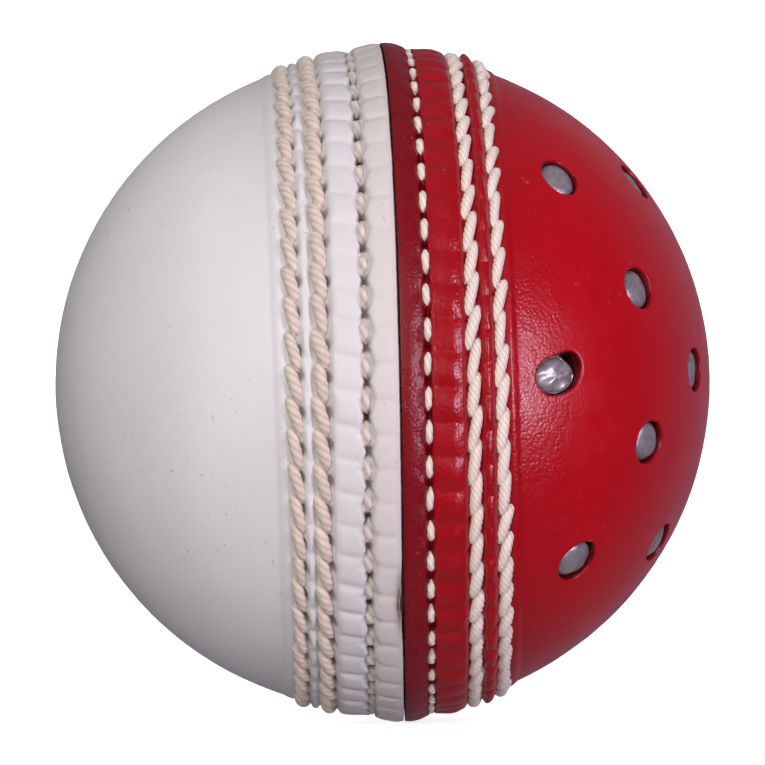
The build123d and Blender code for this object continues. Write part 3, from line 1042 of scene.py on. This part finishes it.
def plain_mesh(tree, name, values):
    """Run a Geometry Nodes tree with these inputs, and keep its result as a plain mesh."""
    holder = bpy.data.objects.new(name, bpy.data.meshes.new(name + "_start"))
    bpy.context.scene.collection.objects.link(holder)
    modifier = holder.modifiers.new("build", "NODES")
    modifier.node_group = tree
    for socket in tree.interface.items_tree:
        if socket.in_out == "INPUT" and socket.name in values:
            modifier[socket.identifier] = values[socket.name]
    ready = bpy.context.evaluated_depsgraph_get()
    mesh = bpy.data.meshes.new_from_object(holder.evaluated_get(ready))
    mesh.name = name
    holder.modifiers.remove(modifier)
    holder.data = mesh
    mesh.shade_smooth()
    return holder


# one stitch of each kind of row, in mm, with its twists in turns and its taper as a share
THICK = {
    "Plies": 4, "Ply depth": 0.12, "Twists": -1.4, "Length": 3.95, "Lift": 0.42,
    "Start depth": 1.35, "End depth": 0.95, "Reach": 0.95, "Taper": 0.25, "Wander": 0.07,
}
TIGHT = {
    **THICK, "Plies": 5, "Twists": -1.75, "Length": 4.25, "End depth": 0.6, "Taper": 0.35,
}
THIN = {
    "Plies": 3, "Ply depth": 0.14, "Twists": -0.8, "Length": 2.65, "Lift": 0.34,
    "Start depth": 0.65, "End depth": 0.65, "Reach": 0.5, "Taper": 0.85, "Wander": 0.05,
}
ROWS = {
    "stitches_white_outer": dict(THICK, Thread=1.30, Sideways=0.95, Phase=0.07, Seed=1),
    "stitches_white_middle": dict(THICK, Thread=1.42, Sideways=0.98, Phase=0.08, Seed=2),
    "stitches_white_closing": dict(THIN, Thread=1.12, Sideways=0.12, Phase=0.52, Seed=3),
    "stitches_red_closing": dict(THIN, Thread=0.86, Sideways=0.05, Phase=0.5, Seed=4),
    "stitches_red_middle": dict(TIGHT, Thread=1.22, Sideways=-0.85, Phase=0.55, Seed=5),
    "stitches_red_outer": dict(TIGHT, Thread=1.20, Sideways=-0.80, Phase=0.42, Seed=6),
}
BELOW_CAD_ROW = 0.03  # how far a row's top stays inside the CAD row's
rows_tree = stitch_tree()
for name, values in ROWS.items():
    low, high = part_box(name)
    values["Row place"] = (low[0] + high[0]) / 2 / MM
    if name == "stitches_white_closing":
        values["Row place"] -= WHITE_CLOSING_SLIP
    values["Row radius"] = high[2] / MM - values["Thread"] / 2 - BELOW_CAD_ROW
    values["Stitches"] = STITCHES
    beige = name in ("stitches_white_outer", "stitches_white_middle")
    greyed = name == "stitches_white_closing"
    values["Material"] = BEIGE_THREAD if beige else GREYED_THREAD if greyed else CREAM_THREAD
    row = plain_mesh(rows_tree, name.replace("stitches", "thread"), values)
    place = np.empty(len(row.data.vertices) * 3, np.float32)
    row.data.vertices.foreach_get("co", place)
    place = wandered(place.reshape(-1, 3).astype(float) / MM) * MM
    row.data.vertices.foreach_set("co", place.astype(np.float32).ravel())
    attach(row, "root")
    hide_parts(name)

# ------------------------------------------------------------------------------ pellets


DENT_DEPTH = 0.03  # of the waves in a pellet's top
CRUMPLED = {"pellet_outer_1": 0.06}  # the dents of the one that was struck hardest
DOME = 0.75  # how far a pellet's top rises above its side
FULLNESS = 0.75  # below 1, the dome is fuller than a ball
PELLET_SIDES = 48
PELLET_SHARE = 0.985  # of its full radius, for a pellet pressed in straight
PRESSED_ASIDE = [-0.06, 0.0]  # pellets sit towards the seam in their holes
FOOT = 0.1  # below this height a pellet's side is left straight


def pellet(name, middle, seed):
    """A pellet in its hole: a short round slug, its top domed and a little uneven."""
    rng = np.random.default_rng(seed)
    sides = PELLET_SIDES
    crown = np.linalg.norm(tip_of(name)) - WINDING_R
    shoulder = crown - DOME
    outline = [(0.0, 0.0), (PELLET_R * 0.96, 0.0), (PELLET_R, 0.06), (PELLET_R, shoulder)]
    for bend in np.radians(np.arange(12, 91, 13)):
        reach = PELLET_R * math.cos(bend) ** FULLNESS
        outline.append((reach, shoulder + (crown - shoulder) * math.sin(bend)))
    turn = np.arange(sides) * 2 * math.pi / sides
    side, up = across_hole(middle)
    out_of_round = 1 + 0.02 * np.sin(2 * turn + rng.uniform(0, 6)) + 0.012 * np.sin(3 * turn)
    tilt = rng.normal(0, 0.03, 2)
    shift = rng.normal(0, 0.03, 2) + PRESSED_ASIDE
    wide, tall = SQUASHED.get(name, (PELLET_SHARE, PELLET_SHARE))
    dents = rng.normal(0, 1.6, (4, 2))
    crumple = CRUMPLED.get(name, DENT_DEPTH)
    points = []
    for reach, rise in outline[1:-1]:
        x = reach * out_of_round * np.cos(turn) * wide
        y = reach * out_of_round * np.sin(turn) * tall
        dent = sum(np.sin(a * x + b * y) for a, b in dents) - 2.5
        uneven = tilt[0] * x + tilt[1] * y + crumple * dent * (rise > shoulder)
        rise = rise + uneven * (rise > FOOT)
        x, y = x + shift[0], y + shift[1]
        rise = np.minimum(rise, crown) * np.ones(sides)
        points.append((WINDING_R + rise)[:, None] * middle + x[:, None] * side + y[:, None] * up)
    rings = len(points)
    top = (WINDING_R + outline[-1][1]) * middle + shift[0] * side + shift[1] * up
    points.append([WINDING_R * middle, top])
    faces = []
    for ring in range(rings - 1):
        here = ring * sides + np.arange(sides)
        faces += bridge(here, here + sides)
    base, tip = rings * sides, rings * sides + 1
    last = (rings - 1) * sides
    faces += [[base, (i + 1) % sides, i] for i in range(sides)]
    faces += [[tip, last + i, last + (i + 1) % sides] for i in range(sides)]
    made = build_mesh(name.replace("pellet", "slug"), np.concatenate(points), faces)
    outwards(made)
    made.data.materials.append(METAL)
    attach(made, "root")
    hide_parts(name)


for number, (name, middle) in enumerate(zip(pellet_nodes, pellet_middles)):
    pellet(name, middle, 300 + number)

# ------------------------------------------------------------------ what is inside

INSIDE = {
    "core": cork("cork_and_rubber", "#6d4a30", "#3a2518", 1.6, 0.10),
    "yarn": wool(),
    "cork": cork("cut_cork", "#b98a5c", "#8d6238", 1.1, 0.12),
    "seam": split_hide(),
}
for name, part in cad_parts.items():
    finish = INSIDE.get(name.split("_")[0])
    if finish:
        part.data.materials.clear()
        part.data.materials.append(finish)

# ------------------------------------------------------------------- light and camera

world = bpy.data.worlds.new("studio")
bpy.context.scene.world = world
world.use_nodes = True
sky = world.node_tree
sky.nodes.clear()
way = node(sky, "ShaderNodeSeparateXYZ", {0: node(sky, "ShaderNodeTexCoord").outputs["Generated"]})
# a dark room with a glow behind the ball, so that its rim shines and its front stays deep
behind = node(sky, "ShaderNodeMath", {
    0: way.outputs["X"], 1: 0.5, 2: way.outputs["Y"],
}, operation="MULTIPLY_ADD")
room = node(sky, "ShaderNodeMix", {
    0: node(sky, "ShaderNodeMapRange", {0: behind, 1: 0.5, 2: 1.1}),
    6: linear("#1c1a20"),
    7: linear("#918499"),
}, data_type="RGBA").outputs[2]
room = node(sky, "ShaderNodeMix", {
    0: node(sky, "ShaderNodeMapRange", {0: way.outputs["Z"], 1: 0.3, 2: 0.9}),
    6: room,
    7: linear("#6c6a70"),
}, data_type="RGBA").outputs[2]
room = node(sky, "ShaderNodeMix", {
    0: node(sky, "ShaderNodeMapRange", {0: way.outputs["Z"], 1: -0.3, 2: -0.9}),
    6: room,
    7: linear("#6c6870"),
}, data_type="RGBA").outputs[2]
room = node(sky, "ShaderNodeMix", {
    0: node(sky, "ShaderNodeMapRange", {0: way.outputs["Y"], 1: 0.0, 2: -0.6}),
    6: room,
    7: linear("#121214"),
}, data_type="RGBA").outputs[2]
backing = node(sky, "ShaderNodeBackground", {"Color": room, "Strength": 1.0})
node(sky, "ShaderNodeOutputWorld", {0: backing})


def aim(thing, place):
    """Put something at a place, facing the ball's middle."""
    thing.location = place
    thing.rotation_euler = (Vector() - Vector(place)).to_track_quat("-Z", "Y").to_euler()


def soft_light(name, place, width, tall, power, colour):
    """A soft box, which the lacquer and the pellets show as a highlight."""
    lamp = bpy.data.lights.new(name, "AREA")
    lamp.shape, lamp.size, lamp.size_y = "RECTANGLE", width, tall
    lamp.energy, lamp.color = power, linear(colour)[:3]
    made = bpy.data.objects.new(name, lamp)
    bpy.context.scene.collection.objects.link(made)
    aim(made, place)


def soft_sun(name, place, strength, width, colour):
    """A very wide light. It isn't seen in the lacquer, which it would grey all over."""
    lamp = bpy.data.lights.new(name, "SUN")
    lamp.energy, lamp.angle, lamp.color = strength, math.radians(width), linear(colour)[:3]
    made = bpy.data.objects.new(name, lamp)
    bpy.context.scene.collection.objects.link(made)
    aim(made, place)
    made.visible_glossy = False


soft_light("side_box", (1.05, -1.03, 0.0), 0.22, 0.6, 13.0, "#f3e0fc")
soft_light("left_box", (-0.5, -1.0, 0.35), 0.22, 0.22, 2.0, "#ffffff")
soft_sun("key", (-0.20, -0.94, 0.27), 2.2, 52, "#fffefd")
soft_sun("fill", (0.0, -0.45, -0.9), 0.62, 70, "#fbf8ff")
soft_sun("top", (-0.1, -0.3, 0.95), 0.8, 70, "#fbf8ff")
soft_sun("back", (0.3, 0.93, 0.3), 1.5, 25, "#fffafa")

paper, paper_tree, paper_shader, _ = material("matt_white_paper")
give(paper_tree, paper_shader, {
    "Base Color": linear("#f4f4f4"),
    "Roughness": 0.9,
    "Specular IOR Level": 0.0,
    "Emission Color": linear("#ffffff"),
    "Emission Strength": 0.8,
})
ROOM = 12.0  # metres from the ball to the walls


def paper_sheet(name, corners, faces):
    """A sheet of white paper. It's seen, but throws no light or shade back on the ball."""
    mesh = bpy.data.meshes.new(name)
    mesh.from_pydata(corners, [], faces)
    mesh.materials.append(paper)
    made = bpy.data.objects.new(name, mesh)
    bpy.context.scene.collection.objects.link(made)
    made.visible_glossy = made.visible_diffuse = made.visible_shadow = False


floor_z = cad_box[0][2]
square = [(-ROOM, -ROOM), (ROOM, -ROOM), (ROOM, ROOM), (-ROOM, ROOM)]
paper_sheet("floor", [(x, y, floor_z) for x, y in square], [(0, 1, 2, 3)])
walls = [(x, y, z) for z in (floor_z, ROOM) for x, y in square]
paper_sheet("walls", walls, [(i, (i + 1) % 4, (i + 1) % 4 + 4, i + 4) for i in range(4)])

DISTANCE = 0.7
AZIMUTH, ROLL = math.radians(-1.34), math.radians(-2.19)
BALL_SHARE = 0.856  # how much of the picture's width the leather fills
SENSOR = 36
lens = bpy.data.cameras.new("camera")
camera = bpy.data.objects.new("camera", lens)
bpy.context.scene.collection.objects.link(camera)
bpy.context.scene.camera = camera
place = Vector((math.sin(AZIMUTH), -math.cos(AZIMUTH), 0)) * DISTANCE
aim(camera, place)
camera.rotation_euler = (
    camera.rotation_euler.to_matrix() @ Matrix.Rotation(ROLL, 3, "Z")
).to_euler()
spread_angle = math.asin(SKIN_R * MM / DISTANCE)
lens.sensor_width = SENSOR
lens.lens = SENSOR * BALL_SHARE / 2 / math.tan(spread_angle)
lens.clip_start, lens.clip_end = 0.05, 50
bpy.context.scene.view_settings.view_transform = "Standard"
